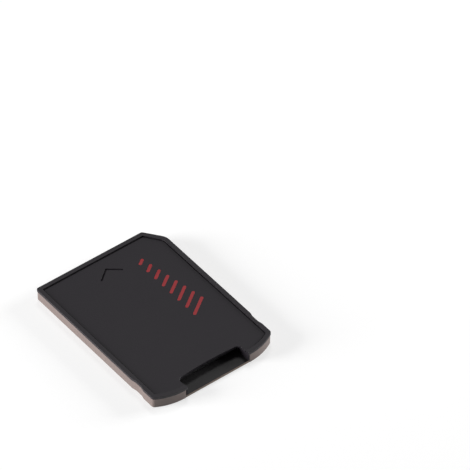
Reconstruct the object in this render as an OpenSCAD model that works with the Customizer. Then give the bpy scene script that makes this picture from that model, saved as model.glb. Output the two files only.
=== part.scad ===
// Memory card adapter: a thin game-card body that takes a small flash memory card.
// Sizes are in millimetres and +Z is up. +Y is the way the adapter is pushed in.
// The origin is the middle of the underside, and the flash card goes in at the rear.

/* [Card body] */
// Width across the two sides
body_w = 22; // [20:0.1:26]
// Length from the rear edge to the front edge
body_l = 30; // [28:0.1:36]
// Chamfered front corner, measured across the card
chamfer_w = 2.35; // [1.5:0.05:4]
// Chamfered front corner, measured along the card
chamfer_l = 3.1; // [2:0.05:5]
// Radius where the chamfer meets the front edge
chamfer_front_r = 0.5; // [0.2:0.05:0.8]
// Radius where the chamfer meets the side
chamfer_side_r = 2; // [0.5:0.1:2.5]
// Radius of the square front corner
front_corner_r = 0.3; // [0.1:0.05:0.8]
// Straight middle of the rear edge, between the swept corners
rear_straight = 12; // [11.8:0.1:14]
// Radius of the swept rear corners
rear_sweep_r = 9.4; // [8:0.1:12]
// Radius where a swept corner meets the side
rear_corner_r = 0.6; // [0.3:0.05:1]

/* [Grip notches] */
// Middle of each side notch, measured from the rear edge
notch_from_rear = 5.05; // [4:0.05:7]
// Length of a notch at its mouth
notch_l = 2.8; // [2:0.1:3.4]
// Length of a notch at its bottom
notch_flat = 1.3; // [0.6:0.1:1.8]
// Depth of a notch
notch_depth = 0.17; // [0.1:0.01:0.3]

/* [Top cover] */
// Thickness of the cover at its rim
cover_t = 0.45; // [0.35:0.01:0.7]
// Width of the raised rim
rim_w = 0.7; // [0.4:0.05:1.2]
// Depth of the sunk panel below the rim
panel_depth = 0.2; // [0.06:0.01:0.22]
// Width of the fine groove round the panel, at the foot of the rim
groove_w = 0.15; // [0.08:0.01:0.3]
// Depth of that groove below the panel
groove_depth = 0.12; // [0.04:0.01:0.14]
// Width of the engraved insertion arrow
arrow_w = 4.2; // [2:0.1:6]
// Length of the arrow from its tip to the ends of its arms
arrow_l = 1.65; // [0.8:0.05:3]
// Width of the arrow's groove
arrow_stroke = 0.3; // [0.2:0.02:0.5]
// Depth of the arrow's groove
arrow_depth = 0.12; // [0.04:0.01:0.14]
// Tip of the arrow, measured from the front edge
arrow_from_front = 2.75; // [1.5:0.05:6]
// Tip of the arrow, measured across from the middle of the card
arrow_x = -0.25; // [-4:0.05:4]

/* [Thumb recess] */
// Depth of the recess at its middle, measured from the rear edge
thumb_l = 2.64; // [2:0.02:3.4]
// How far the inner edge of the recess bows towards the front
thumb_bow = 0.3; // [0.1:0.02:0.6]
// Radius of the recess's inner corners
thumb_corner_r = 0.7; // [0.3:0.05:1]
// Thickness of the cover's lining down the sides of the recess
lining_t = 0.25; // [0.2:0.01:0.4]
// Depth of the cover's lintel over the slot, measured along the card
lintel_l = 0.4; // [0.25:0.01:0.6]

/* [Alignment posts] */
// Radius of the posts under the cover
post_r = 0.6; // [0.4:0.05:0.8]
// Clearance round a post in its hole
post_clear = 0.05; // [0.03:0.01:0.1]
// Posts, measured in from the sides
post_from_side = 2.5; // [2.2:0.05:2.8]
// Rear posts, measured from the rear edge
post_from_rear = 8; // [6.5:0.1:10]
// Front posts, measured from the front edge
post_from_front = 8.6; // [8:0.1:9.4]

/* [Frame] */
// How far the frame stands in from the cover's edge
frame_inset = 0.08; // [0.02:0.01:0.2]
// Thickness of the frame's wall
frame_wall = 1; // [0.7:0.05:1.3]
// Ribs over the contact pads
rib_count = 5; // [3:1:5]
// Thickness of a rib
rib_t = 0.6; // [0.4:0.05:1]
// Length of the ribs behind the front wall
rib_l = 5; // [4.6:0.1:5.4]

/* [Circuit board] */
// Height of the board's underside above the frame's
board_set = 0.05; // [0.04:0.01:0.1]
// Thickness of the board
board_t = 0.4; // [0.3:0.02:0.6]
// Gap between the board and the pieces round it
board_gap = 0.05; // [0.03:0.01:0.1]
// Number of game-side contact pads
pad_count = 10; // [6:1:10]
// Distance from one pad to the next
pad_pitch = 1.75; // [1.5:0.05:1.8]
// Width of a pad
pad_w = 1.2; // [0.8:0.05:1.35]
// Length of a pad
pad_l = 3.4; // [2.5:0.1:3.8]
// Front end of the pads, measured from the front wall
pad_from_wall = 0.6; // [0.3:0.05:0.9]
// Thickness of the pads' copper and plating
pad_t = 0.035; // [0.03:0.005:0.04]

/* [Flash card] */
// Width of the flash card
card_w = 11; // [10.8:0.05:11.2]
// Length of the flash card
card_l = 15; // [14:0.1:15.6]
// Thickness of the flash card
card_t = 0.7; // [0.6:0.02:0.9]
// Room at each side of the flash card
card_side = 0.1; // [0.05:0.01:0.2]
// Room over the flash card
card_head = 0.08; // [0.05:0.01:0.15]
// Rear end of the seated flash card, measured from the rear edge
card_set = 0.7; // [0.3:0.05:1.2]

/* [Socket] */
// Thickness of the socket base under the flash card
base_t = 0.25; // [0.2:0.01:0.35]
// Width of the base's side rails
rail_w = 0.9; // [0.8:0.02:1.1]
// Length of the header that stops the flash card
header_l = 2.2; // [1.6:0.1:2.6]
// Gap between the lintel and the socket's mouth
mouth_gap = 0.1; // [0.05:0.01:0.3]
// Thickness of the shell's sheet steel
shell_t = 0.12; // [0.1:0.01:0.16]
// Gap between the shell and the base's rails
shell_gap = 0.02; // [0.01:0.01:0.05]
// Gap between the shell and the cover
shell_head = 0.05; // [0.03:0.01:0.12]
// Length of a shell foot, measured across the card
foot_w = 0.75; // [0.5:0.05:0.9]
// Length of a shell foot, measured along the card
foot_l = 1.3; // [0.8:0.1:1.8]
// Shell feet, measured in from the two ends of the shell
foot_from_end = 1; // [0.6:0.1:2]
// Width of a pressing finger in the shell
finger_w = 1.1; // [0.8:0.05:1.4]
// Length of a pressing finger
finger_l = 4.6; // [3.5:0.1:5.5]
// Fingers, measured across from the middle of the card
finger_x = 2.9; // [2.2:0.1:3.6]
// Roots of the fingers, measured from the shell's front end
finger_from_front = 4.4; // [3.5:0.1:5]
// Gap round a finger
finger_gap = 0.3; // [0.2:0.02:0.4]

/* [Contact springs] */
// Number of contact springs
spring_count = 8; // [6:1:8]
// Distance from one spring to the next
spring_pitch = 1.1; // [1:0.02:1.12]
// Width of a spring
spring_w = 0.4; // [0.3:0.02:0.5]
// Thickness of the spring strip
spring_t = 0.1; // [0.08:0.01:0.12]
// Gap round a spring in the base
spring_gap = 0.13; // [0.1:0.01:0.16]
// Contact point, measured from the front end of the flash card
touch_from_stop = 2.6; // [2:0.1:3.2]
// How far a free spring stands above the base
touch_h = 0.22; // [0.1:0.01:0.35]
// Length of the bent tip beyond the contact point
tip_l = 1.1; // [0.8:0.05:1.5]
// Length of the solder tails in front of the header
tail_l = 0.7; // [0.5:0.05:0.9]
// Thickness of the side springs' strip
leaf_t = 0.1; // [0.08:0.01:0.12]
// Height of the side springs
leaf_h = 0.5; // [0.3:0.02:0.6]
// How far the side springs reach into the slot
leaf_reach = 0.15; // [0.05:0.01:0.25]
// Rear end of the retention spring's pocket, measured from the front end of the flash card
retention_from_stop = 8; // [7:0.1:9]
// Length of the retention spring's pocket
retention_l = 4.4; // [3.6:0.1:5]
// Rear end of the detect spring's pocket, measured from the front end of the flash card
detect_from_stop = 2.8; // [2.7:0.1:3.4]
// Length of the detect spring's pocket
detect_l = 2.6; // [2:0.1:2.6]
// Length of the detect contact
detect_contact_l = 0.6; // [0.4:0.05:0.9]

/* [Components] */
// Number of pull-up resistors
resistor_count = 5; // [1:1:5]
// Distance from one resistor to the next
resistor_pitch = 1.6; // [1.3:0.05:1.7]
// Height of a resistor
resistor_h = 0.35; // [0.25:0.01:0.5]
// Height of a capacitor
capacitor_h = 0.5; // [0.3:0.01:0.6]
// Length of a chip component
chip_l = 1; // [0.8:0.02:1.1]
// Width of a chip component
chip_w = 0.5; // [0.4:0.02:0.6]
// Length of a component's metal end
chip_end = 0.22; // [0.15:0.01:0.3]
// How far a metal end stands out round the component
chip_wrap = 0.02; // [0.01:0.01:0.03]
// Length of a solder joint past the end of its leg
solder_l = 0.3; // [0.15:0.05:0.4]
// Middle of the component row, measured from the ends of the solder tails
chip_row = 1.7; // [1.2:0.05:2.2]
// Capacitors, measured across from the middle of the card
capacitor_x = 5.4; // [5:0.1:6.4]

/* [Print] */
// Number of printed strokes
stroke_count = 8; // [3:1:9]
// Distance from one stroke to the next
stroke_pitch = 1.9; // [1.2:0.05:2]
// Width of a stroke
stroke_w = 0.5; // [0.3:0.02:0.8]
// Length of the shortest stroke
stroke_short = 1.4; // [1:0.1:2]
// Length of the longest stroke
stroke_long = 4; // [3:0.1:4.4]
// Slant of the strokes, in degrees
stroke_slant = 35; // [0:1:50]
// Inner end of the strokes, measured across from the middle of the card
stroke_x = 4.5; // [3:0.1:5.2]
// Foremost stroke, measured from the front edge
stroke_from_front = 5.2; // [4:0.1:7]
// Thickness of the ink
ink_t = 0.02; // [0.01:0.005:0.04]

/* [Hidden] */

$fn = 96;
// Overshoot of a cut past the face that it opens
over = 0.5;

side_x = body_w / 2;
front_y = body_l / 2;
rear_y = -body_l / 2;

// Heights, stacked up from the underside
board_top = board_set + board_t;
base_top = board_top + base_t;
slot_top = base_top + card_t + card_head;
shell_top = slot_top + shell_t;
frame_h = shell_top + shell_head;
body_h = frame_h + cover_t;
panel_z = body_h - panel_depth;

// Half widths, counted out from the flash card
slot_x = card_w / 2 + card_side;
lining_x = slot_x + lining_t;
rail_x = slot_x + rail_w;
shell_in_x = rail_x + shell_gap;
shell_out_x = shell_in_x + shell_t;

// Places along the card
stop_y = rear_y + card_set + card_l;
header_y = stop_y + header_l;
tail_y = header_y + tail_l;
thumb_y = rear_y + thumb_l;
lintel_y = thumb_y + lintel_l;
mouth_y = lintel_y + mouth_gap;
wall_in_y = front_y - frame_inset - frame_wall;
rib_y = wall_in_y - rib_l;
pad_y = wall_in_y - pad_from_wall;
touch_y = stop_y - touch_from_stop;
chip_y = tail_y + chip_row;
finger_y = header_y - finger_from_front;
tip_y = touch_y - tip_l;
foot_places = [mouth_y + foot_from_end, header_y - foot_from_end - foot_l];

// Pockets of the two side springs: the rear wall of each, the wall outside it, and the room in it
retention_y = stop_y - retention_from_stop;
detect_y = stop_y - detect_from_stop;
pocket_wall = 0.3;
pocket_x = rail_x - pocket_wall;
pocket_clear = 0.15;

// Bends of the springs: half the length of a rounded nose, and how far its ends drop
nose_half = 0.25;
nose_drop = 0.03;
// Gap between the header and the heel where a contact spring starts to rise
heel_gap = 0.3;
// Height of a contact spring's bent tip above the board
tip_h = 0.05;
// Length of the turned-up end of a pressing finger
finger_lip = 0.5;

post_places = [
    for (sx = [-1, 1], y = [rear_y + post_from_rear, front_y - post_from_front])
        [sx * (side_x - post_from_side), y]];

function unit(v) = v / norm(v);
function flipped(points) =
    [for (i = [len(points) - 1 : -1 : 0]) [-points[i].x, points[i].y]];
function arc(centre, r, from, to, steps) = [
    for (i = [0 : steps])
        let (a = from + (to - from) * i / steps)
            centre + r * [cos(a), sin(a)]];

// Plan outline of the card, drawn in by inset all round and built from tangent arcs

// The chamfer's outward normal, and where its line lies along that normal
chamfer_normal = unit([chamfer_l, chamfer_w]);
chamfer_turn = atan2(chamfer_normal.y, chamfer_normal.x);
function chamfer_line(inset) =
    chamfer_normal * [side_x - chamfer_w, front_y] - inset;

// Smallest radius that a corner keeps when the outline is drawn in
corner_least = 0.15;
function drawn_in(r, inset) = max(r - inset, corner_least);

function chamfer_side_arc(inset) = let (
    r = drawn_in(chamfer_side_r, inset),
    x = side_x - inset - r,
    y = (chamfer_line(inset) - r - chamfer_normal.x * x) / chamfer_normal.y)
    arc([x, y], r, 0, chamfer_turn, 8);

function chamfer_front_arc(inset) = let (
    r = drawn_in(chamfer_front_r, inset),
    y = front_y - inset - r,
    x = (chamfer_line(inset) - r - chamfer_normal.y * y) / chamfer_normal.x)
    arc([x, y], r, chamfer_turn, 90, 6);

function front_corner_arc(inset) = let (r = drawn_in(front_corner_r, inset))
    arc([inset + r - side_x, front_y - inset - r], r, 90, 180, 6);

// Rear corner on the +X side: the wide sweep, then the small radius that meets the side
function rear_corner_arcs(inset) = let (
    sweep = [rear_straight / 2, rear_y + rear_sweep_r],
    r = drawn_in(rear_corner_r, inset),
    x = side_x - inset - r,
    reach = rear_sweep_r - inset - r,
    y = sweep.y - sqrt(pow(reach, 2) - pow(x - sweep.x, 2)),
    turn = atan2(y - sweep.y, x - sweep.x))
    concat(
        arc(sweep, rear_sweep_r - inset, -90, turn, 16),
        arc([x, y], r, turn, 0, 6));

module outline(inset) {
    polygon(concat(
        front_corner_arc(inset),
        flipped(rear_corner_arcs(inset)),
        rear_corner_arcs(inset),
        chamfer_side_arc(inset),
        chamfer_front_arc(inset)));
}

module notches(inset) {
    for (sx = [-1, 1])
        translate([sx * (side_x - inset), rear_y + notch_from_rear])
            polygon([
                [sx * over, notch_l / 2],
                [0, notch_l / 2],
                [-sx * notch_depth, notch_flat / 2],
                [-sx * notch_depth, -notch_flat / 2],
                [0, -notch_l / 2],
                [sx * over, -notch_l / 2]]);
}

module card_outline(inset) {
    difference() {
        outline(inset);
        notches(inset);
    }
}

// Plan of the thumb recess: straight sides, a bowed inner edge and round inner corners
bow_r = (pow(slot_x, 2) + pow(thumb_bow, 2)) / (2 * thumb_bow);
bow_centre = [0, thumb_y - bow_r];

module thumb_plan() {
    x = slot_x - thumb_corner_r;
    y = bow_centre.y + sqrt(pow(bow_r - thumb_corner_r, 2) - pow(x, 2));
    turn = atan2(y - bow_centre.y, x);
    polygon(concat(
        [[slot_x, rear_y - over]],
        arc([x, y], thumb_corner_r, 0, turn, 6),
        arc(bow_centre, bow_r, turn, 180 - turn, 16),
        arc([-x, y], thumb_corner_r, 180 - turn, 180, 6),
        [[-slot_x, rear_y - over]]));
}

module slab(z0, z1) {
    translate([0, 0, z0]) linear_extrude(z1 - z0) children();
}

module arrow_plan() {
    arm = [arrow_w / 2, -arrow_l];
    across = unit([-arrow_l, -arrow_w / 2]) * arrow_stroke;
    throat = [0, -arrow_stroke * norm(arm) / arm.x];
    for (sx = [0, 1])
        mirror([sx, 0]) polygon([[0, 0], arm, arm + across, throat]);
}

// Moulded cover: its lining and lintel frame the thumb recess, and four posts line up the board
module top_cover() {
    color("#343135") {
        difference() {
            slab(frame_h, panel_z) cover_plan();
            slab(panel_z - arrow_depth, body_h)
                translate([arrow_x, front_y - arrow_from_front]) arrow_plan();
            slab(panel_z - groove_depth, body_h)
                difference() {
                    outline(rim_w);
                    outline(rim_w + groove_w);
                }
        }
        slab(panel_z, body_h)
            difference() {
                cover_plan();
                outline(rim_w);
            }
        recess_lining();
        for (p = post_places)
            translate([p.x, p.y, board_set])
                cylinder(h = frame_h - board_set, r = post_r);
    }
}

module cover_plan() {
    difference() {
        card_outline(0);
        thumb_plan();
    }
}

module recess_lining() {
    lining_y = rear_y + frame_inset;
    slab(board_top, frame_h)
        for (sx = [-1, 1])
            translate([sx * (slot_x + lining_t / 2) - lining_t / 2, lining_y])
                square([lining_t, lintel_y - lining_y]);
    slab(slot_top, frame_h)
        difference() {
            translate([-lining_x, thumb_y - thumb_bow - thumb_corner_r])
                square([2 * lining_x, thumb_bow + thumb_corner_r + lintel_l]);
            thumb_plan();
        }
}

// Moulded frame: the wall round the card, open at the thumb recess, with ribs that back the pads
module frame() {
    inner = frame_inset + frame_wall;
    opening_x = lining_x + board_gap;
    color("#a8988f") {
        difference() {
            slab(0, frame_h) card_outline(frame_inset);
            slab(-over, frame_h + over) outline(inner);
            translate([-opening_x, rear_y - over, -over])
                cube([2 * opening_x, frame_wall + 2 * over, frame_h + 2 * over]);
        }
        slab(board_top + board_gap, frame_h)
            intersection() {
                outline(frame_inset + frame_wall / 2);
                rib_plan();
            }
    }
}

module rib_plan() {
    translate([-side_x, rib_y]) square([body_w, rib_t]);
    for (i = [0 : rib_count - 1])
        translate([(i - (rib_count - 1) / 2) * 2 * pad_pitch - rib_t / 2, rib_y])
            square([rib_t, rib_l + frame_wall / 2]);
}

// Circuit board: its tongue is the floor of the thumb recess
module circuit_board() {
    tongue_y = rear_y + frame_inset;
    color("#1f2421")
        slab(board_set, board_top)
            difference() {
                union() {
                    outline(frame_inset + frame_wall + board_gap);
                    translate([-lining_x, tongue_y]) square([2 * lining_x, thumb_l]);
                }
                for (p = post_places)
                    translate(p) circle(post_r + post_clear);
            }
}

module contact_pads() {
    color("#d6ab4a")
        for (i = [0 : pad_count - 1])
            translate([
                (i - (pad_count - 1) / 2) * pad_pitch - pad_w / 2,
                pad_y - pad_l,
                board_set - pad_t])
                cube([pad_w, pad_l, pad_t]);
}

// Leaf spring bent in plan, standing on the socket base
module leaf(places) {
    last = len(places) - 1;
    slab(base_top, base_top + leaf_h)
        polygon(concat(
            [for (p = places) p + [leaf_t / 2, 0]],
            [for (i = [last : -1 : 0]) places[i] - [leaf_t / 2, 0]]));
}

// Moulded insulator: floor with spring windows, side rails, and a header that stops the card
module socket_base() {
    window_w = spring_w + 2 * spring_gap;
    color("#2a2a2e")
        difference() {
            translate([-rail_x, mouth_y, board_top])
                cube([2 * rail_x, header_y - mouth_y, slot_top - board_top]);
            translate([-slot_x, mouth_y - over, base_top])
                cube([2 * slot_x, stop_y - mouth_y + over, slot_top - base_top + over]);
            for (i = [1 : spring_count])
                translate([spring_x(i) - window_w / 2, tip_y - spring_gap, board_top - over])
                    cube([window_w, stop_y - tip_y + spring_gap, base_t + 2 * over]);
            for (i = [1 : spring_count])
                translate([spring_x(i) - spring_w / 2, stop_y - over, board_top - over])
                    cube([spring_w, header_l + 2 * over, spring_t + over]);
            translate([-pocket_x, retention_y, base_top])
                cube([2 * rail_w, retention_l, slot_top]);
            translate([pocket_x - 2 * rail_w, detect_y, base_top])
                cube([2 * rail_w, detect_l, slot_top]);
        }
}

function spring_x(i) = (i - (spring_count + 1) / 2) * spring_pitch;

// Contact spring i: solder tail, run through the header, rising arm, contact point and bent tip
module contact_spring(i) {
    touch_z = base_top + touch_h - spring_t;
    heel_y = stop_y - heel_gap;
    path = [
        [tail_y, board_top],
        [heel_y, board_top],
        [touch_y + nose_half, touch_z - nose_drop],
        [touch_y, touch_z],
        [touch_y - nose_half, touch_z - nose_drop],
        [tip_y, board_top + tip_h]];
    last = len(path) - 1;
    color("#d6ab4a")
        translate([spring_x(i) - spring_w / 2, 0, 0])
            rotate([90, 0, 90])
                linear_extrude(spring_w)
                    polygon(concat(
                        path,
                        [for (k = [last : -1 : 0]) path[k] + [0, spring_t]]));
}

// Side spring that catches the flash card's edge notch
module retention_spring() {
    back_x = -pocket_x + leaf_t / 2 + pocket_clear / 3;
    from = retention_y + pocket_clear;
    to = retention_y + retention_l - pocket_clear;
    middle = (from + to) / 2;
    nose_x = leaf_reach - slot_x - leaf_t / 2;
    color("#c9ccd0")
        leaf([
            [back_x, from],
            [nose_x, middle - nose_half],
            [nose_x, middle + nose_half],
            [back_x, to]]);
}

// Side spring that the flash card pushes against the detect contact
module detect_spring() {
    back_x = pocket_x - leaf_t / 2 - pocket_clear / 3;
    from = detect_y + pocket_clear;
    to = detect_y + detect_l - pocket_clear;
    nose_x = slot_x - leaf_reach + leaf_t / 2;
    color("#d6ab4a")
        leaf([
            [back_x, from],
            [nose_x, (from + to) / 2],
            [nose_x + leaf_t, to]]);
}

module detect_contact() {
    back_x = pocket_x - leaf_t / 2;
    to = detect_y + detect_l - pocket_clear;
    color("#d6ab4a")
        leaf([[back_x, to - detect_contact_l], [back_x, to]]);
}

// Stamped steel shell: roof, two sides, four soldered feet and two pressing fingers
module socket_shell() {
    shell_y = header_y;
    finger_hole_w = finger_w + 2 * finger_gap;
    color("#c9ccd0") {
        difference() {
            translate([-shell_out_x, mouth_y, slot_top])
                cube([2 * shell_out_x, shell_y - mouth_y, shell_t]);
            for (sx = [-1, 1])
                translate([
                    sx * finger_x - finger_hole_w / 2,
                    finger_y - finger_l - finger_gap,
                    slot_top - over])
                    cube([finger_hole_w, finger_l + finger_gap, shell_t + 2 * over]);
        }
        for (sx = [-1, 1]) {
            translate([sx * (shell_in_x + shell_t / 2) - shell_t / 2, mouth_y, board_top])
                cube([shell_t, shell_y - mouth_y, slot_top - board_top]);
            shell_finger(sx * finger_x);
            for (y = foot_places)
                translate([sx * (shell_out_x + foot_w / 2) - foot_w / 2, y, board_top])
                    cube([foot_w, foot_l, shell_t]);
        }
    }
}

module shell_finger(x) {
    dip = min(card_head, shell_t * 0.6);
    lip_y = finger_y - finger_l + finger_lip;
    translate([x - finger_w / 2, 0, 0])
        rotate([90, 0, 90])
            linear_extrude(finger_w)
                polygon([
                    [finger_y, slot_top],
                    [lip_y, slot_top - dip],
                    [finger_y - finger_l, slot_top - dip / 2],
                    [finger_y - finger_l, slot_top - dip / 2 + shell_t],
                    [lip_y, slot_top - dip + shell_t],
                    [finger_y, slot_top + shell_t]]);
}

// Chip component: a ceramic body between two metal ends that wrap round it
module chip(x, h) {
    translate([x - chip_w / 2, chip_y - chip_l / 2, board_top]) {
        translate([chip_wrap, chip_wrap, chip_wrap])
            cube([chip_w - 2 * chip_wrap, chip_l - 2 * chip_wrap, h - 2 * chip_wrap]);
        cube([chip_w, chip_end, h]);
        translate([0, chip_l - chip_end, 0]) cube([chip_w, chip_end, h]);
    }
}

module capacitor(i) {
    color("#9a7d5c") chip((2 * i - 3) * capacitor_x, capacitor_h);
}

module resistor(i) {
    color("#2b2b2b") chip((i - (resistor_count + 1) / 2) * resistor_pitch, resistor_h);
}

// Solder wedge that starts at height h and runs out to nothing towards +Y, w wide and l long
module wedge(w, l, h) {
    translate([-w / 2, 0, 0])
        rotate([90, 0, 90])
            linear_extrude(w) polygon([[0, 0], [l, 0], [0, h]]);
}

module solder_joints() {
    color("#b9bcc2") {
        for (i = [1 : spring_count])
            translate([spring_x(i), tail_y, board_top])
                wedge(spring_w, solder_l, spring_t);
        for (sx = [-1, 1], y = foot_places)
            translate([sx * (shell_out_x + foot_w), y + foot_l / 2, board_top])
                rotate(-sx * 90) wedge(foot_l, solder_l, shell_t);
    }
}

// Print on the panel: slanted strokes with round ends that grow in length
module printed_strokes() {
    color("#b93237")
        slab(panel_z, panel_z + ink_t)
            for (i = [0 : stroke_count - 1])
                translate([stroke_x, front_y - stroke_from_front - i * stroke_pitch])
                    rotate(stroke_slant)
                        stroke(stroke_short + (stroke_long - stroke_short) * i / (stroke_count - 1));
}

module stroke(l) {
    translate([0, -stroke_w / 2]) square([l - stroke_w, stroke_w]);
    circle(stroke_w / 2);
    translate([l - stroke_w, 0]) circle(stroke_w / 2);
}

top_cover();
frame();
circuit_board();
contact_pads();
socket_shell();
socket_base();
for (i = [1 : spring_count])
    contact_spring(i);
retention_spring();
detect_spring();
detect_contact();
for (i = [1, 2])
    capacitor(i);
for (i = [1 : resistor_count])
    resistor(i);
solder_joints();
printed_strokes();
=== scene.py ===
import math

import bmesh
import bpy
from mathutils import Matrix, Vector


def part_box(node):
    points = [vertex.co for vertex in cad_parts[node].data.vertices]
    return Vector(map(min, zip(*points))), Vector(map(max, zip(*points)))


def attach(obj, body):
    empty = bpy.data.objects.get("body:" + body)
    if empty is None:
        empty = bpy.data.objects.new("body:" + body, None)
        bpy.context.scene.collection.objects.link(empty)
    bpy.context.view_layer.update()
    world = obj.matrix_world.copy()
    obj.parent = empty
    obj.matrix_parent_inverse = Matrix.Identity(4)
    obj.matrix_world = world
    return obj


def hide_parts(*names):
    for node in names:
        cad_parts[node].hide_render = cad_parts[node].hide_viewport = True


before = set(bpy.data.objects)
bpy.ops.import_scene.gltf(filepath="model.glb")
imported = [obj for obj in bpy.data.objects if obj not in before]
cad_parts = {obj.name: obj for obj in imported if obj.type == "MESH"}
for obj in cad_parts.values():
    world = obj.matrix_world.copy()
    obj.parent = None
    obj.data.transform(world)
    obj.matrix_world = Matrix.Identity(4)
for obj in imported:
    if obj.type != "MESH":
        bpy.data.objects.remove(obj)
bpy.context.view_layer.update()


# Camera
# A long lens at arm's length, as for a small product on a table.
# It looks down over the rear left corner, so the front edge points away from it.
MM = 0.001
CAMERA_SIDE = math.radians(37.94)
CAMERA_DOWN = math.radians(44.2)
CAMERA_DISTANCE = 751 * MM
CAMERA_AIM = Vector((19.34, 5.85, 2.1)) * MM
CAMERA_LENS = 383
SENSOR_WIDTH = 36

bpy.ops.object.select_all(action="DESELECT")
bpy.ops.object.camera_add()
camera = bpy.context.object
camera.name = "camera"
camera.data.sensor_width = SENSOR_WIDTH
camera.data.lens = CAMERA_LENS
look = Vector((
    math.sin(CAMERA_SIDE) * math.cos(CAMERA_DOWN),
    math.cos(CAMERA_SIDE) * math.cos(CAMERA_DOWN),
    -math.sin(CAMERA_DOWN)))
camera.location = CAMERA_AIM - CAMERA_DISTANCE * look
camera.rotation_euler = (math.pi / 2 - CAMERA_DOWN, 0, -CAMERA_SIDE)
bpy.context.scene.camera = camera
bpy.context.scene.view_settings.view_transform = "Standard"


# Studio
# A pale matt table. Two low soft boxes face each other across the camera's view, and a
# third hangs high behind the adapter, so the side towards the camera stays dim.
def linear(hex_colour):
    """An sRGB hex colour as a linear colour with full alpha."""
    channels = [int(hex_colour[i:i + 2], 16) / 255 for i in (1, 3, 5)]
    return [*(c / 12.92 if c <= 0.04045 else ((c + 0.055) / 1.055) ** 2.4 for c in channels), 1]


def add_node(tree, kind, settings=None, links=None):
    """Adds a node, sets its sockets and properties by name, and links its inputs."""
    made = tree.nodes.new(kind)
    for name, value in (settings or {}).items():
        if isinstance(name, int) or name in made.inputs:
            made.inputs[name].default_value = value
        else:
            setattr(made, name, value)
    for name, source in (links or {}).items():
        tree.links.new(source, made.inputs[name])
    return made


def new_material(name):
    """An empty node material, and its tree."""
    material = bpy.data.materials.new(name)
    material.use_nodes = True
    material.node_tree.nodes.clear()
    return material, material.node_tree


TABLE_SIZE = 1.6
TABLE_LIFT = 0.58
AIR_STRENGTH = 0.12

# Matt laminate is an even pale grey with no sheen. What the camera, glossy and transmission
# rays see of it is lifted to white, and the adapter's shadow stays.
matt_laminate, tree = new_material("matt_laminate_pale")
paper = add_node(tree, "ShaderNodeBsdfDiffuse", {"Color": linear("#bdbdbd")})
rays = add_node(tree, "ShaderNodeLightPath").outputs
seen = add_node(tree, "ShaderNodeMath", {"operation": "MAXIMUM"},
                {0: rays["Is Camera Ray"], 1: rays["Is Glossy Ray"]})
seen = add_node(tree, "ShaderNodeMath", {"operation": "MAXIMUM"},
                {0: seen.outputs[0], 1: rays["Is Transmission Ray"]})
lift = add_node(tree, "ShaderNodeMath", {"operation": "MULTIPLY", 1: TABLE_LIFT},
                {0: seen.outputs[0]})
glow = add_node(tree, "ShaderNodeEmission", {"Color": (1, 1, 1, 1)}, {"Strength": lift.outputs[0]})
both = add_node(tree, "ShaderNodeAddShader", links={0: paper.outputs[0], 1: glow.outputs[0]})
add_node(tree, "ShaderNodeOutputMaterial", links={"Surface": both.outputs[0]})

bpy.ops.mesh.primitive_plane_add(size=TABLE_SIZE)
table = bpy.context.object
table.name = "table"
table.data.materials.append(matt_laminate)

studio_air = bpy.data.worlds.new("studio_air")
studio_air.use_nodes = True
background = studio_air.node_tree.nodes["Background"].inputs
background["Color"].default_value = (1, 1, 1, 1)
background["Strength"].default_value = AIR_STRENGTH
bpy.context.scene.world = studio_air


def soft_box(name, place, size, power):
    """A square area lamp that faces the adapter."""
    bpy.ops.object.light_add(type="AREA", location=place)
    lamp = bpy.context.object
    lamp.name = name
    lamp.data.size = size
    lamp.data.energy = power
    lamp.rotation_euler = (-lamp.location).to_track_quat("-Z", "Y").to_euler()


soft_box("soft_box_left", place=(-0.37, 0.17, 0.1), size=0.18, power=2.7)
soft_box("soft_box_right", place=(0.4, -0.1, 0.1), size=0.18, power=1.9)
soft_box("soft_box_high", place=(0.17, 0.21, 0.42), size=0.12, power=0.46)


# Frame
# Injection-moulded ABS in a smoke brown: the wall that carries the board and the cover.
# Its outside takes the satin of a stoned mould, and ejector pins leave discs underneath.
MERGE_WITHIN = 0.0005 * MM
FLAT_WITHIN = math.radians(0.5)
SHARP_ABOVE = math.radians(30)


def copy_of_node(node, name):
    """A new piece with a merged copy of a CAD node's mesh, its flat faces made whole again."""
    bpy.ops.object.select_all(action="DESELECT")
    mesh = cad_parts[node].data.copy()
    mesh.name = name
    mesh.materials.clear()
    piece = bpy.data.objects.new(name, mesh)
    bpy.context.scene.collection.objects.link(piece)
    bpy.context.view_layer.objects.active = piece
    piece.select_set(True)
    bpy.ops.object.mode_set(mode="EDIT")
    bpy.ops.mesh.select_all(action="SELECT")
    bpy.ops.mesh.remove_doubles(threshold=MERGE_WITHIN)
    bpy.ops.mesh.dissolve_limited(angle_limit=FLAT_WITHIN)
    bpy.ops.object.mode_set(mode="OBJECT")
    return piece


def start_as(primitive, name, centre, stretch, turn=(0, 0, 0), **options):
    """A new piece that starts as a primitive of unit size, stretched, turned and put in place."""
    bpy.ops.object.select_all(action="DESELECT")
    primitive(location=centre, rotation=turn, **options)
    piece = bpy.context.object
    piece.name = piece.data.name = name
    piece.scale = stretch
    bpy.ops.object.transform_apply()
    return piece


def copied(piece, name, shift, turn=0):
    """A copy of the piece with its own mesh, turned about the scene's z axis and then shifted."""
    bpy.ops.object.select_all(action="DESELECT")
    piece.select_set(True)
    bpy.context.view_layer.objects.active = piece
    bpy.ops.object.duplicate()
    copy = bpy.context.object
    copy.name = copy.data.name = name
    copy.rotation_euler.z = turn
    copy.location = shift
    bpy.ops.object.transform_apply()
    return copy


def cut_away(piece, cutters):
    """Takes the cutters' shapes out of the piece, and the cutters out of the scene."""
    for cutter in cutters:
        hollow = piece.modifiers.new("hollow", "BOOLEAN")
        hollow.operation = "DIFFERENCE"
        hollow.solver = "EXACT"
        hollow.object = cutter
        bpy.context.view_layer.objects.active = piece
        bpy.ops.object.modifier_apply(modifier=hollow.name)
        bpy.data.objects.remove(cutter)


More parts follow.
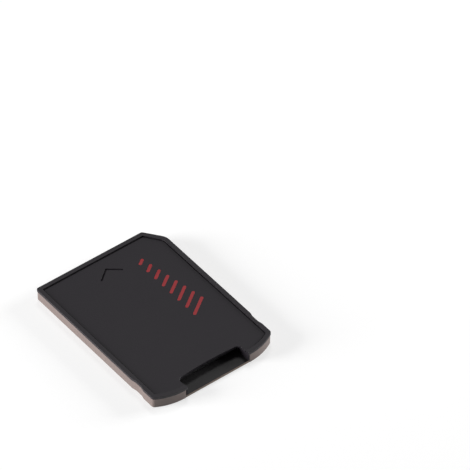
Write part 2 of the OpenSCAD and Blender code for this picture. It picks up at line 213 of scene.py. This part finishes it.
def soften(piece, radius, segments=2):
    """Rounds the piece's sharp edges and keeps its flat faces flat in the light."""
    bpy.ops.object.select_all(action="DESELECT")
    bpy.context.view_layer.objects.active = piece
    piece.select_set(True)
    edges = piece.modifiers.new("edge_radius", "BEVEL")
    edges.width = radius
    edges.segments = segments
    edges.limit_method = "ANGLE"
    edges.angle_limit = SHARP_ABOVE
    bpy.ops.object.modifier_apply(modifier=edges.name)
    bpy.ops.object.shade_smooth_by_angle(angle=SHARP_ABOVE)
    flats = piece.modifiers.new("flat_faces", "WEIGHTED_NORMAL")
    flats.keep_sharp = True
    bpy.ops.object.modifier_apply(modifier=flats.name)


MOTTLE = 4 * MM


def moulded(name, tints, roughness, grain, relief, gloss=0.5):
    """A moulded plastic: two close tints in a slow mottle, and the mould's grain as relief."""
    material, tree = new_material(name)
    place = add_node(tree, "ShaderNodeTexCoord").outputs["Object"]
    mottle = add_node(tree, "ShaderNodeTexNoise", {"Scale": 1 / MOTTLE, "Detail": 3},
                      {"Vector": place})
    tint = add_node(tree, "ShaderNodeMix",
                    {"data_type": "RGBA", 6: linear(tints[0]), 7: linear(tints[1])},
                    {"Factor": mottle.outputs["Fac"]})
    satin = add_node(tree, "ShaderNodeMapRange",
                     {"To Min": roughness[0], "To Max": roughness[1]},
                     {"Value": mottle.outputs["Fac"]})
    pits = add_node(tree, "ShaderNodeTexNoise", {"Scale": 1 / grain, "Detail": 4},
                    {"Vector": place})
    bump = add_node(tree, "ShaderNodeBump", {"Distance": relief}, {"Height": pits.outputs["Fac"]})
    shader = add_node(tree, "ShaderNodeBsdfPrincipled",
                      {"IOR": 1.54, "Specular IOR Level": gloss},
                      {"Base Color": tint.outputs[2], "Roughness": satin.outputs[0],
                       "Normal": bump.outputs[0]})
    add_node(tree, "ShaderNodeOutputMaterial", links={"Surface": shader.outputs[0]})
    return material


# ABS has a soft, slightly milky satin. The grain is drawn four times its size to show.
smoke_abs = moulded("smoke_abs_moulded", ("#766763", "#80716c"), roughness=(0.38, 0.46),
                    grain=0.25 * MM, relief=0.007 * MM)

EJECTOR_R = 0.3 * MM
EJECTOR_DEPTH = 0.03 * MM
WALL_X = 10.42 * MM
WALL_Y = 14.42 * MM
PINS_ALONG_SIDE = (-7 * MM, 2 * MM, 10 * MM)
PINS_ALONG_FRONT = (-5 * MM, 4 * MM)
WALL_EDGE_R = 0.05 * MM

wall = copy_of_node("frame", "frame_wall")
pin_places = [(side * WALL_X, y) for side in (-1, 1) for y in PINS_ALONG_SIDE]
pin_places += [(x, WALL_Y) for x in PINS_ALONG_FRONT]
pin = start_as(bpy.ops.mesh.primitive_cylinder_add, "ejector_pin", (0, 0, 0),
               (EJECTOR_R, EJECTOR_R, EJECTOR_DEPTH), vertices=24, radius=1, depth=2)
cut_away(wall, [copied(pin, "ejector_pin", (x, y, 0)) for x, y in pin_places])
bpy.data.objects.remove(pin)
soften(wall, WALL_EDGE_R)
wall.data.materials.append(smoke_abs)
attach(wall, "root")
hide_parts("frame")


# Circuit board
# Glass-fibre laminate between two skins of black solder mask, routed to its outline.
# The laminate shows along the routed edge, and in the windows round the contact pads.
def select_where(piece, kind, test):
    """In edit mode, selects only the vertices, edges or faces that pass the test."""
    bpy.ops.mesh.select_mode(type=kind)
    bpy.ops.mesh.select_all(action="DESELECT")
    mesh = bmesh.from_edit_mesh(piece.data)
    for part in {"VERT": mesh.verts, "EDGE": mesh.edges, "FACE": mesh.faces}[kind]:
        if test(part):
            part.select_set(True)
    mesh.select_flush_mode()
    bmesh.update_edit_mesh(piece.data)


def middle(edge):
    """The middle of an edge."""
    return (edge.verts[0].co + edge.verts[1].co) / 2


# A wave texture of scale WAVE_BAND has bands one unit apart.
WAVE_BAND = math.pi / 10
CLOTH_PITCH = 0.5 * MM
MASK_FLOW = 3 * MM
MASK_RELIEF = 0.003 * MM


def woven_mask(name, tints):
    """Liquid solder mask: smooth and dark, with the glass cloth below telling through."""
    material, tree = new_material(name)
    place = add_node(tree, "ShaderNodeTexCoord").outputs["Object"]
    flow = add_node(tree, "ShaderNodeTexNoise", {"Scale": 1 / MASK_FLOW, "Detail": 2},
                    {"Vector": place})
    tint = add_node(tree, "ShaderNodeMix",
                    {"data_type": "RGBA", 6: linear(tints[0]), 7: linear(tints[1])},
                    {"Factor": flow.outputs["Fac"]})
    warp, weft = (
        add_node(tree, "ShaderNodeTexWave",
                 {"bands_direction": way, "Scale": WAVE_BAND / CLOTH_PITCH}, {"Vector": place})
        for way in ("X", "Y"))
    cloth = add_node(tree, "ShaderNodeMath", {"operation": "MULTIPLY"},
                     {0: warp.outputs["Fac"], 1: weft.outputs["Fac"]})
    bump = add_node(tree, "ShaderNodeBump", {"Distance": MASK_RELIEF},
                    {"Height": cloth.outputs[0]})
    satin = add_node(tree, "ShaderNodeMapRange", {"To Min": 0.56, "To Max": 0.64},
                     {"Value": flow.outputs["Fac"]})
    shader = add_node(tree, "ShaderNodeBsdfPrincipled", {"IOR": 1.5},
                      {"Base Color": tint.outputs[2], "Roughness": satin.outputs[0],
                       "Normal": bump.outputs[0]})
    add_node(tree, "ShaderNodeOutputMaterial", links={"Surface": shader.outputs[0]})
    return material


# Black mask is a deep charcoal with a low sheen, and the weave breaks its highlight.
black_mask = woven_mask("solder_mask_black", ("#151315", "#191719"))

# Routed laminate is matt, with the cut ends of the glass cloth in thin level lines.
PLY_PITCH = 0.1 * MM
FIBRE_SIZE = 0.08 * MM
FIBRE_RELIEF = 0.006 * MM

routed_laminate, tree = new_material("glass_epoxy_routed")
place = add_node(tree, "ShaderNodeTexCoord").outputs["Object"]
plies = add_node(tree, "ShaderNodeTexWave",
                 {"bands_direction": "Z", "Scale": WAVE_BAND / PLY_PITCH, "Distortion": 1.5},
                 {"Vector": place})
tint = add_node(tree, "ShaderNodeMix",
                {"data_type": "RGBA", 6: linear("#7a6a60"), 7: linear("#938479")},
                {"Factor": plies.outputs["Fac"]})
fibres = add_node(tree, "ShaderNodeTexNoise", {"Scale": 1 / FIBRE_SIZE, "Detail": 3},
                  {"Vector": place})
bump = add_node(tree, "ShaderNodeBump", {"Distance": FIBRE_RELIEF},
                {"Height": fibres.outputs["Fac"]})
shader = add_node(tree, "ShaderNodeBsdfPrincipled", {"IOR": 1.55, "Roughness": 0.7},
                  {"Base Color": tint.outputs[2], "Normal": bump.outputs[0]})
add_node(tree, "ShaderNodeOutputMaterial", links={"Surface": shader.outputs[0]})

MASK_T = 0.05 * MM
WINDOW_MARGIN = 0.12 * MM
WINDOW_DEPTH = 0.02 * MM
PAD_COUNT = 10
PAD_W = 1.2 * MM
BOARD_EDGE_R = 0.015 * MM

board_low, board_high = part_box("circuit_board")
pads_low, pads_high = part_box("contact_pads")
pad_l = pads_high.y - pads_low.y
pad_y = (pads_high.y + pads_low.y) / 2
pad_places = [
    pads_low.x + PAD_W / 2 + i * (pads_high.x - pads_low.x - PAD_W) / (PAD_COUNT - 1)
    for i in range(PAD_COUNT)]

board = copy_of_node("circuit_board", "board_laminate")
window = start_as(bpy.ops.mesh.primitive_cube_add, "window", (0, pad_y, board_low.z),
                  (PAD_W + 2 * WINDOW_MARGIN, pad_l + 2 * WINDOW_MARGIN, 2 * WINDOW_DEPTH), size=1)
cut_away(board, [copied(window, "window", (x, 0, 0)) for x in pad_places])
bpy.data.objects.remove(window)
soften(board, BOARD_EDGE_R, 1)
board.data.materials.append(black_mask)
board.data.materials.append(routed_laminate)
bpy.ops.object.mode_set(mode="EDIT")
for height in (board_low.z + MASK_T, board_high.z - MASK_T):
    bpy.ops.mesh.select_all(action="SELECT")
    bpy.ops.mesh.bisect(plane_co=(0, 0, height), plane_no=(0, 0, 1))


def shows_laminate(face):
    """True on the routed edge between the mask skins, and on the floors of the windows."""
    height = face.calc_center_median().z
    routed = abs(face.normal.z) < 0.5 and board_low.z + MASK_T < height < board_high.z - MASK_T
    in_window = face.normal.z < -0.9 and height > board_low.z + WINDOW_DEPTH / 2
    return routed or in_window


select_where(board, "FACE", shows_laminate)
board.active_material_index = 1
bpy.ops.object.material_slot_assign()
bpy.ops.object.mode_set(mode="OBJECT")
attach(board, "root")
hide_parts("circuit_board")


# Board tracks
# Etched copper under the solder mask: a track from each pad to a plated hole by the socket.
# Only their relief shows. They lie on the underside, and one half mirrors the other.
def turn_between(one, other, axis):
    """The angle from one heading to another about an axis, as the rotate operator counts it."""
    return -math.atan2(one.cross(other).dot(axis), one.dot(other))


def rounded(corners, radius, steps=3):
    """The path through the corners, with an arc of that radius at each one between its ends."""
    path = [corners[0]]
    for before, corner, after in zip(corners, corners[1:], corners[2:]):
        back, on = (before - corner).normalized(), (after - corner).normalized()
        half = back.angle(on) / 2
        centre = corner + (back + on).normalized() * radius / math.sin(half)
        start = corner + back * radius / math.tan(half) - centre
        end = corner + on * radius / math.tan(half) - centre
        path += [centre + start.slerp(end, i / steps) * radius for i in range(steps + 1)]
    return path + [corners[-1]]


def face_out():
    """Turns every face of the piece in edit mode outwards, and leaves edit mode."""
    bpy.ops.mesh.select_all(action="SELECT")
    bpy.ops.mesh.normals_make_consistent(inside=False)
    bpy.ops.object.mode_set(mode="OBJECT")


def joined(pieces, name):
    """The pieces as one piece."""
    bpy.ops.object.select_all(action="DESELECT")
    for piece in pieces:
        piece.select_set(True)
    bpy.context.view_layer.objects.active = pieces[0]
    bpy.ops.object.join()
    pieces[0].name = pieces[0].data.name = name
    return pieces[0]


def draw_out(path, axis_name):
    """Extrudes the selected face along a flat path, and turns it about the axis at each bend."""
    axis = Vector([name == axis_name for name in "XYZ"])
    carried = 0
    for i in range(1, len(path)):
        heading = path[i] - path[i - 1]
        bpy.ops.mesh.extrude_region_move(TRANSFORM_OT_translate={"value": heading})
        turn = turn_between(heading, path[i + 1] - path[i], axis) if i + 1 < len(path) else 0
        if carried + turn:
            bpy.ops.transform.rotate(
                value=(carried + turn) / 2, orient_axis=axis_name, center_override=path[i])
        carried = turn


TRACK_W = 0.25 * MM
TRACK_T = 0.02 * MM
VIA_R = 0.3 * MM
VIA_PITCH = 1.1 * MM
VIA_Y = 4.4 * MM
BEND_Y = 8.8 * MM
TRACK_BEND_R = 0.3 * MM
TRACK_EDGE_R = 0.005 * MM

track_z = board_low.z - TRACK_T / 2
via = start_as(bpy.ops.mesh.primitive_cylinder_add, "via", (0, VIA_Y, track_z),
               (VIA_R, VIA_R, TRACK_T), vertices=24, radius=1, depth=1)
bpy.ops.object.mode_set(mode="EDIT")
select_where(via, "FACE", lambda face: face.normal.z < -0.9)
bpy.ops.mesh.inset(thickness=VIA_R / 2)
bpy.ops.mesh.extrude_region_move(TRANSFORM_OT_translate={"value": (0, 0, TRACK_T / 2)})
bpy.ops.object.mode_set(mode="OBJECT")

half = []
for i, pad_x in enumerate(pad_places[:PAD_COUNT // 2]):
    via_x = (i - (PAD_COUNT - 1) / 2) * VIA_PITCH
    route = [Vector((pad_x, pads_low.y, track_z)), Vector((pad_x, BEND_Y, track_z)),
             Vector((via_x, BEND_Y - abs(pad_x - via_x), track_z)), Vector((via_x, VIA_Y, track_z))]
    half.append(start_as(bpy.ops.mesh.primitive_plane_add, "track", route[0],
                         (TRACK_W, TRACK_T, 1), (math.pi / 2, 0, 0), size=1))
    bpy.ops.object.mode_set(mode="EDIT")
    bpy.ops.mesh.select_all(action="SELECT")
    draw_out(rounded(route, TRACK_BEND_R), "Z")
    face_out()
    half.append(copied(via, "via", (via_x, 0, 0)))
bpy.data.objects.remove(via)
tracks = joined(half, "board_tracks")
mirror = tracks.modifiers.new("other_half", "MIRROR")
mirror.use_mirror_merge = False
bpy.ops.object.modifier_apply(modifier=mirror.name)
bpy.ops.object.mode_set(mode="EDIT")
face_out()
soften(tracks, TRACK_EDGE_R, 1)

# Copper shows through the mask as a slightly lighter and warmer black.
mask_over_copper = woven_mask("solder_mask_over_copper", ("#2f2c28", "#35322d"))
tracks.data.materials.append(mask_over_copper)
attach(tracks, "root")


# Contact pads
# Copper pads plated with nickel and hard gold, which the reader's contacts slide on.
# They are etched with small corner radii and stand in their windows in the mask.
def metal(name, tints, roughness, grain, stretch, relief):
    """A metal: close tints, and marks that run the way it was worked, drawn wide to show."""
    material, tree = new_material(name)
    place = add_node(tree, "ShaderNodeTexCoord").outputs["Object"]
    drawn = add_node(tree, "ShaderNodeMapping", {"Scale": stretch}, {"Vector": place})
    marks = add_node(tree, "ShaderNodeTexNoise", {"Scale": 1 / grain, "Detail": 5},
                     {"Vector": drawn.outputs[0]})
    tint = add_node(tree, "ShaderNodeMix",
                    {"data_type": "RGBA", 6: linear(tints[0]), 7: linear(tints[1])},
                    {"Factor": marks.outputs["Fac"]})
    lustre = add_node(tree, "ShaderNodeMapRange",
                      {"To Min": roughness[0], "To Max": roughness[1]},
                      {"Value": marks.outputs["Fac"]})
    bump = add_node(tree, "ShaderNodeBump", {"Distance": relief}, {"Height": marks.outputs["Fac"]})
    shader = add_node(tree, "ShaderNodeBsdfPrincipled", {"Metallic": 1},
                      {"Base Color": tint.outputs[2], "Roughness": lustre.outputs[0],
                       "Normal": bump.outputs[0]})
    add_node(tree, "ShaderNodeOutputMaterial", links={"Surface": shader.outputs[0]})
    return material


# Hard gold is bright and warm, with faint marks along the way that contacts wipe it.
hard_gold = metal("hard_gold_plated", ("#d9ad57", "#e6bf6c"), roughness=(0.2, 0.32),
                  grain=0.15 * MM, stretch=(1, 0.1, 1), relief=0.001 * MM)

PAD_CORNER = 0.12 * MM
PAD_EDGE_R = 0.008 * MM

pad = start_as(bpy.ops.mesh.primitive_plane_add, "pad", (0, pad_y, pads_low.z),
               (PAD_W, pad_l, 1), size=1)
bpy.ops.object.mode_set(mode="EDIT")
bpy.ops.mesh.select_all(action="SELECT")
bpy.ops.mesh.bevel(offset=PAD_CORNER, segments=4, affect="VERTICES")
bpy.ops.mesh.select_all(action="SELECT")
bpy.ops.mesh.extrude_region_move(
    TRANSFORM_OT_translate={"value": (0, 0, pads_high.z + WINDOW_DEPTH - pads_low.z)})
face_out()
pads = joined([copied(pad, "pad", (x, 0, 0)) for x in pad_places], "gold_pads")
bpy.data.objects.remove(pad)
soften(pads, PAD_EDGE_R)
pads.data.materials.append(hard_gold)
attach(pads, "root")
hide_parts("contact_pads")


# Socket base
# Injection-moulded liquid crystal polymer, black and dead matt, with faint flow lines.
# It holds the springs and stops the flash card, and sits flat on the board.

# The polymer's filler leaves a flat, dusty black that hardly shines.
black_lcp = moulded("black_lcp_moulded", ("#232326", "#2b2b2d"), roughness=(0.6, 0.7),
                    grain=0.2 * MM, relief=0.005 * MM)

BASE_EDGE_R = 0.025 * MM

base = copy_of_node("socket_base", "insulator")
soften(base, BASE_EDGE_R)
base.data.materials.append(black_lcp)
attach(base, "root")
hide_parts("socket_base")


# Contact springs
# Phosphor bronze strip, stamped, bent and gold-flashed. Each runs from a flat solder tail
# through the header and rises to a rounded nose that presses on the flash card.

# Gold flash is thin, so it is paler and less bright than the pads, with marks along the strip.
gold_flash = metal("gold_flashed_bronze", ("#c99f55", "#dbb36a"), roughness=(0.25, 0.36),
                   grain=0.1 * MM, stretch=(1, 0.1, 1), relief=0.001 * MM)

SPRING_COUNT = 8
SPRING_T = 0.1 * MM
SPRING_BEND_R = 0.5 * MM
SPRING_EDGE_R = 0.015 * MM
HEEL_Y = 0.4 * MM
NOSE_Y = -1.9 * MM

low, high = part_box("contact_spring_1")
middle_x = (low.x + high.x) / 2
tail_z = low.z + SPRING_T / 2
course = rounded([
    Vector((middle_x, high.y, tail_z)),
    Vector((middle_x, HEEL_Y, tail_z)),
    Vector((middle_x, NOSE_Y, high.z - SPRING_T / 2)),
    Vector((middle_x, low.y, tail_z + SPRING_T / 2))], SPRING_BEND_R, steps=6)
spring = start_as(bpy.ops.mesh.primitive_plane_add, "spring", course[0],
                  (high.x - low.x, SPRING_T, 1), (math.pi / 2, 0, 0), size=1)
bpy.ops.object.mode_set(mode="EDIT")
bpy.ops.mesh.select_all(action="SELECT")
draw_out(course, "X")
face_out()
soften(spring, SPRING_EDGE_R)
spring.data.materials.append(gold_flash)

for i in range(1, SPRING_COUNT + 1):
    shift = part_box(f"contact_spring_{i}")[0].x - low.x
    finger = copied(spring, f"card_spring_{i}", (shift, 0, 0))
    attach(finger, "root")
    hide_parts(f"contact_spring_{i}")
bpy.data.objects.remove(spring)


# Side springs
# Thin strips that stand on edge in pockets of the base. A steel one catches the notch in
# the flash card's edge, and a gold-flashed pair closes when a card is pushed home.

# Rolled stainless has a soft grey lustre, drawn out along the way that it was rolled.
rolled_steel = metal("stainless_rolled", ("#b4b5b6", "#c6c7c8"), roughness=(0.28, 0.4),
                     grain=0.12 * MM, stretch=(1, 0.08, 1), relief=0.001 * MM)

STRIP_T = 0.1 * MM
STRIP_EDGE_R = 0.012 * MM


def standing_strip(name, node, corners, bend, finish):
    """A strip on edge that runs along the corners, in mm in plan, as high as the node."""
    low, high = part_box(node)
    height = high.z - low.z
    course = rounded([Vector((x * MM, y * MM, low.z + height / 2)) for x, y in corners], bend)
    across = course[1] - course[0]
    strip = start_as(bpy.ops.mesh.primitive_plane_add, name, course[0], (STRIP_T, height, 1),
                     (math.pi / 2, 0, math.atan2(-across.x, across.y)), size=1)
    bpy.ops.object.mode_set(mode="EDIT")
    bpy.ops.mesh.select_all(action="SELECT")
    draw_out(course, "Z")
    face_out()
    soften(strip, STRIP_EDGE_R)
    strip.data.materials.append(finish)
    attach(strip, "root")
    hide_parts(node)


standing_strip("card_catch", "retention_spring",
               [(-6.1, -7.15), (-5.5, -5.35), (-5.5, -4.85), (-6.1, -3.05)], bend=0.4 * MM,
               finish=rolled_steel)
standing_strip("detect_blade", "detect_spring",
               [(6.1, -1.95), (5.5, -0.8), (5.6, 0.35)], bend=0.5 * MM,
               finish=gold_flash)
standing_strip("detect_stop", "detect_contact",
               [(6.15, -0.25), (6.15, 0.05), (6.13, 0.35)], bend=0.1 * MM,
               finish=gold_flash)


# Socket shell
# Stainless sheet, stamped and folded over the base. Two fingers in its roof press the
# flash card on to the springs, and four feet are soldered to the board.
FOLD_R = 0.11 * MM
SHEET_EDGE_R = 0.012 * MM
A_HAIR = 0.001 * MM

shell = copy_of_node("socket_shell", "steel_shell")
roof_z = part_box("socket_shell")[1].z
wall_x = max(abs(v.co.x) for v in shell.data.vertices if v.co.z > roof_z - A_HAIR)
bpy.ops.object.mode_set(mode="EDIT")
select_where(shell, "EDGE", lambda edge: middle(edge).z > roof_z - A_HAIR
             and abs(middle(edge).x) > wall_x - A_HAIR)
bpy.ops.mesh.bevel(offset=FOLD_R, segments=5)
bpy.ops.object.mode_set(mode="OBJECT")
soften(shell, SHEET_EDGE_R, 1)
shell.data.materials.append(rolled_steel)
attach(shell, "root")
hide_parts("socket_shell")


# Capacitors and resistors
# Chip parts that are soldered flat: a fired ceramic body between two tinned ends, which
# wrap round it and stand a little proud. The resistors carry a black glass coat on top.

# Matt tin is a pale grey with a fine frost and no clear reflections.
tinned_end = metal("tin_plated_matt", ("#b9bab8", "#c8c9c6"), roughness=(0.38, 0.5),
                   grain=0.05 * MM, stretch=(1, 1, 1), relief=0.002 * MM)
SPECK_RELIEF = 0.002 * MM


def fired(name, tints, roughness, speck):
    """A fired ceramic or glaze: fine specks of two tints."""
    material, tree = new_material(name)
    place = add_node(tree, "ShaderNodeTexCoord").outputs["Object"]
    specks = add_node(tree, "ShaderNodeTexNoise",
                      {"Scale": 1 / speck, "Detail": 4, "Roughness": 0.7}, {"Vector": place})
    tint = add_node(tree, "ShaderNodeMix",
                    {"data_type": "RGBA", 6: linear(tints[0]), 7: linear(tints[1])},
                    {"Factor": specks.outputs["Fac"]})
    bump = add_node(tree, "ShaderNodeBump", {"Distance": SPECK_RELIEF},
                    {"Height": specks.outputs["Fac"]})
    shader = add_node(tree, "ShaderNodeBsdfPrincipled", {"IOR": 1.6, "Roughness": roughness},
                      {"Base Color": tint.outputs[2], "Normal": bump.outputs[0]})
    add_node(tree, "ShaderNodeOutputMaterial", links={"Surface": shader.outputs[0]})
    return material


# Fired titanate is a dull tan with fine specks, and alumina is chalky and off-white.
tan_ceramic = fired("barium_titanate_fired", ("#8e6f4f", "#a5845f"), roughness=0.55,
                    speck=0.05 * MM)
white_alumina = fired("alumina_fired", ("#cfcdc6", "#dedcd5"), roughness=0.6, speck=0.05 * MM)

# The glass coat is black and glossy, and gently uneven where it ran in the kiln.
black_glass = fired("glass_coat_black", ("#151618", "#1f2022"), roughness=0.22, speck=0.2 * MM)

CHIP_END = 0.22 * MM
CHIP_WRAP = 0.02 * MM
CHIP_EDGE_R = 0.02 * MM


def chips(count, name, node, body, top):
    """Equal chip parts: the ends of the first swell into tinned caps, and it is copied."""
    low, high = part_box(f"{node}_1")
    size = high - low - Vector((2, 2, 2)) * CHIP_WRAP
    first = start_as(bpy.ops.mesh.primitive_cube_add, name, (low + high) / 2, size, size=1)
    for finish in (body, tinned_end, top):
        first.data.materials.append(finish)
    bpy.ops.object.mode_set(mode="EDIT")
    for y in (low.y + CHIP_END, high.y - CHIP_END):
        bpy.ops.mesh.select_all(action="SELECT")
        bpy.ops.mesh.bisect(plane_co=(0, y, 0), plane_no=(0, 1, 0))
    select_where(first, "FACE", lambda face: face.normal.z > 0.9)
    first.active_material_index = 2
    bpy.ops.object.material_slot_assign()
    select_where(first, "FACE", lambda face: not
                 low.y + CHIP_END < face.calc_center_median().y < high.y - CHIP_END)
    first.active_material_index = 1
    bpy.ops.object.material_slot_assign()
    bpy.ops.mesh.extrude_region_shrink_fatten(TRANSFORM_OT_shrink_fatten={
        "value": CHIP_WRAP, "use_even_offset": True})
    bpy.ops.object.mode_set(mode="OBJECT")
    soften(first, CHIP_EDGE_R)
    for i in range(1, count + 1):
        part = copied(first, f"{name}_{i}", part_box(f"{node}_{i}")[0] - low)
        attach(part, "root")
        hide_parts(f"{node}_{i}")
    bpy.data.objects.remove(first)


chips(2, "chip_capacitor", "capacitor", tan_ceramic, tan_ceramic)
chips(5, "chip_resistor", "resistor", white_alumina, black_glass)


# Solder joints
# Reflowed solder that wets the end of each spring tail and shell foot and runs out over
# the pad in a hollow curve.

# Reflowed solder is bright and silvery, and its skin is faintly dimpled.
reflowed_solder = metal("solder_reflowed", ("#b7babd", "#cdd0d2"), roughness=(0.15, 0.3),
                        grain=0.25 * MM, stretch=(1, 1, 1), relief=0.004 * MM)

FILLET_L = 0.3 * MM
FILLET_STEPS = 5
FILLET_NARROWS = 0.95
FILLET_LEAST = 0.03


def fillet(width, height):
    """A fillet from a leg's end at the origin: its face is drawn out and sinks as it goes."""
    joint = start_as(bpy.ops.mesh.primitive_plane_add, "fillet", (0, 0, height / 2),
                     (width, height, 1), (math.pi / 2, 0, 0), size=1)
    bpy.ops.object.mode_set(mode="EDIT")
    bpy.ops.mesh.select_all(action="SELECT")
    left = 1
    for i in range(1, FILLET_STEPS + 1):
        bpy.ops.mesh.extrude_region_move(
            TRANSFORM_OT_translate={"value": (0, FILLET_L / FILLET_STEPS, 0)})
        share = max((1 - i / FILLET_STEPS) ** 2, FILLET_LEAST)
        bpy.ops.transform.resize(
            value=(FILLET_NARROWS, 1, share / left), center_override=(0, 0, 0))
        left = share
    face_out()
    return joint


FOOT_L = 1.3 * MM
FOOT_T = 0.12 * MM
FOOT_FROM_END = 1 * MM
SOLDER_SMOOTH = math.radians(50)

pad_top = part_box("solder_joints")[0].z
shell_low, shell_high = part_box("socket_shell")
low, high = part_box("contact_spring_1")
tail_fillet = fillet(high.x - low.x, SPRING_T)
foot_fillet = fillet(FOOT_L, FOOT_T)
joints = []
for i in range(1, SPRING_COUNT + 1):
    low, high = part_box(f"contact_spring_{i}")
    joints.append(copied(tail_fillet, "fillet", ((low.x + high.x) / 2, high.y, pad_top)))
foot_middle = FOOT_FROM_END + FOOT_L / 2
for y in (shell_low.y + foot_middle, shell_high.y - foot_middle):
    joints.append(copied(foot_fillet, "fillet", (shell_high.x, y, pad_top), -math.pi / 2))
    joints.append(copied(foot_fillet, "fillet", (shell_low.x, y, pad_top), math.pi / 2))
bpy.data.objects.remove(tail_fillet)
bpy.data.objects.remove(foot_fillet)
solder = joined(joints, "solder_fillets")
bpy.ops.object.shade_smooth_by_angle(angle=SOLDER_SMOOTH)
solder.data.materials.append(reflowed_solder)
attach(solder, "root")
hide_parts("solder_joints")


# Top cover
# Injection-moulded black ABS: a raised rim round a sunk panel, an engraved arrow and the
# lined thumb recess. Its posts pass through the board, and it is glued to the frame.
RECESS_X = 5.62 * MM
RECESS_Y = -12 * MM
RECESS_EDGE_R = 0.1 * MM
COVER_EDGE_R = 0.045 * MM

# The panel has the fine texture of a spark-eroded mould, and the rim is stoned smoother.
# The arrow, the groove and the walls of the recess are left coarse, so they look dull. Their copy
# of the black is also a touch darker than the panel's, with a weaker sheen: painted shade in these
# hollows.
# Each grain is drawn several times its size to show.
textured_abs = moulded("black_abs_textured", ("#120c15", "#161019"), roughness=(0.58, 0.63),
                       grain=0.22 * MM, relief=0.014 * MM, gloss=0.4)
smooth_abs = moulded("black_abs_smooth", ("#130d15", "#171119"), roughness=(0.53, 0.58),
                     grain=0.3 * MM, relief=0.006 * MM, gloss=0.4)
coarse_abs_painted_shade = moulded("black_abs_coarse_painted_shade", ("#100b13", "#140e17"), roughness=(0.78, 0.86),
                     grain=0.15 * MM, relief=0.01 * MM, gloss=0.25)

cover = copy_of_node("top_cover", "cover")
panel_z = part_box("printed_strokes")[0].z


def at_recess(edge):
    """True on the panel's edge round the thumb recess."""
    point = middle(edge)
    return abs(point.z - panel_z) < A_HAIR and abs(point.x) < RECESS_X and point.y < RECESS_Y


def on_panel(face):
    """True on the flat of the panel."""
    return face.normal.z > 0.9 and abs(face.calc_center_median().z - panel_z) < 10 * A_HAIR


def below_panel(face):
    """True in the arrow, the groove and the recess."""
    return max(v.co.z for v in face.verts) < panel_z - 20 * A_HAIR


bpy.ops.object.mode_set(mode="EDIT")
select_where(cover, "EDGE", at_recess)
bpy.ops.mesh.bevel(offset=RECESS_EDGE_R, segments=4)
bpy.ops.object.mode_set(mode="OBJECT")
soften(cover, COVER_EDGE_R)
for finish in (smooth_abs, textured_abs, coarse_abs_painted_shade):
    cover.data.materials.append(finish)
bpy.ops.object.mode_set(mode="EDIT")
# The flat of the panel takes the textured black. Every face below it takes the darker coarse copy,
# as painted shade in the hollows.
for i, test in enumerate((on_panel, below_panel), 1):
    select_where(cover, "FACE", test)
    cover.active_material_index = i
    bpy.ops.object.material_slot_assign()
bpy.ops.object.mode_set(mode="OBJECT")
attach(cover, "root")
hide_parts("top_cover")


# Print
# Pad-printed red ink on the sunk panel: slanted strokes with round ends that grow in
# length. The film stands just proud of the panel.

# Such ink dries to a satin red that is a little darker where the film is thin.
FILM_PATCH = 0.4 * MM
FILM_RELIEF = 0.004 * MM

pad_ink, tree = new_material("pad_printing_ink_red")
place = add_node(tree, "ShaderNodeTexCoord").outputs["Object"]
film = add_node(tree, "ShaderNodeTexNoise", {"Scale": 1 / FILM_PATCH, "Detail": 4},
                {"Vector": place})
tint = add_node(tree, "ShaderNodeMix",
                {"data_type": "RGBA", 6: linear("#8c1b21"), 7: linear("#9b2028")},
                {"Factor": film.outputs["Fac"]})
bump = add_node(tree, "ShaderNodeBump", {"Distance": FILM_RELIEF}, {"Height": film.outputs["Fac"]})
shader = add_node(tree, "ShaderNodeBsdfPrincipled", {"IOR": 1.48, "Roughness": 0.58},
                  {"Base Color": tint.outputs[2], "Normal": bump.outputs[0]})
add_node(tree, "ShaderNodeOutputMaterial", links={"Surface": shader.outputs[0]})

STROKE_COUNT = 8
STROKE_W = 0.5 * MM
STROKE_X = 4.5 * MM
STROKE_TOP_Y = 9.8 * MM
STROKE_PITCH = 1.9 * MM
STROKE_SHORT = 1.4 * MM
STROKE_LONG = 4 * MM
STROKE_SLANT = math.radians(35)
STROKE_EDGE_R = 0.008 * MM

ink_low, ink_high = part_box("printed_strokes")
stroke_middle = (STROKE_SHORT - STROKE_W) / 2
first = start_as(bpy.ops.mesh.primitive_plane_add, "stroke", (stroke_middle, 0, ink_low.z),
                 (STROKE_SHORT, STROKE_W, 1), size=1)
bpy.ops.object.mode_set(mode="EDIT")
bpy.ops.mesh.select_all(action="SELECT")
bpy.ops.mesh.bevel(offset=0.499 * STROKE_W, segments=8, affect="VERTICES")
bpy.ops.mesh.select_all(action="SELECT")
bpy.ops.mesh.extrude_region_move(TRANSFORM_OT_translate={"value": (0, 0, ink_high.z - ink_low.z)})
face_out()

strokes = []
for i in range(STROKE_COUNT):
    stroke = copied(first, "stroke", (0, 0, 0))
    bpy.ops.object.mode_set(mode="EDIT")
    select_where(stroke, "VERT", lambda corner: corner.co.x > stroke_middle)
    growth = (STROKE_LONG - STROKE_SHORT) * i / (STROKE_COUNT - 1)
    bpy.ops.transform.translate(value=(growth, 0, 0))
    bpy.ops.object.mode_set(mode="OBJECT")
    stroke.rotation_euler.z = STROKE_SLANT
    stroke.location = (STROKE_X, STROKE_TOP_Y - i * STROKE_PITCH, 0)
    bpy.ops.object.transform_apply()
    strokes.append(stroke)
bpy.data.objects.remove(first)
ink = joined(strokes, "ink_strokes")
soften(ink, STROKE_EDGE_R)
ink.data.materials.append(pad_ink)
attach(ink, "root")
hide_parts("printed_strokes")
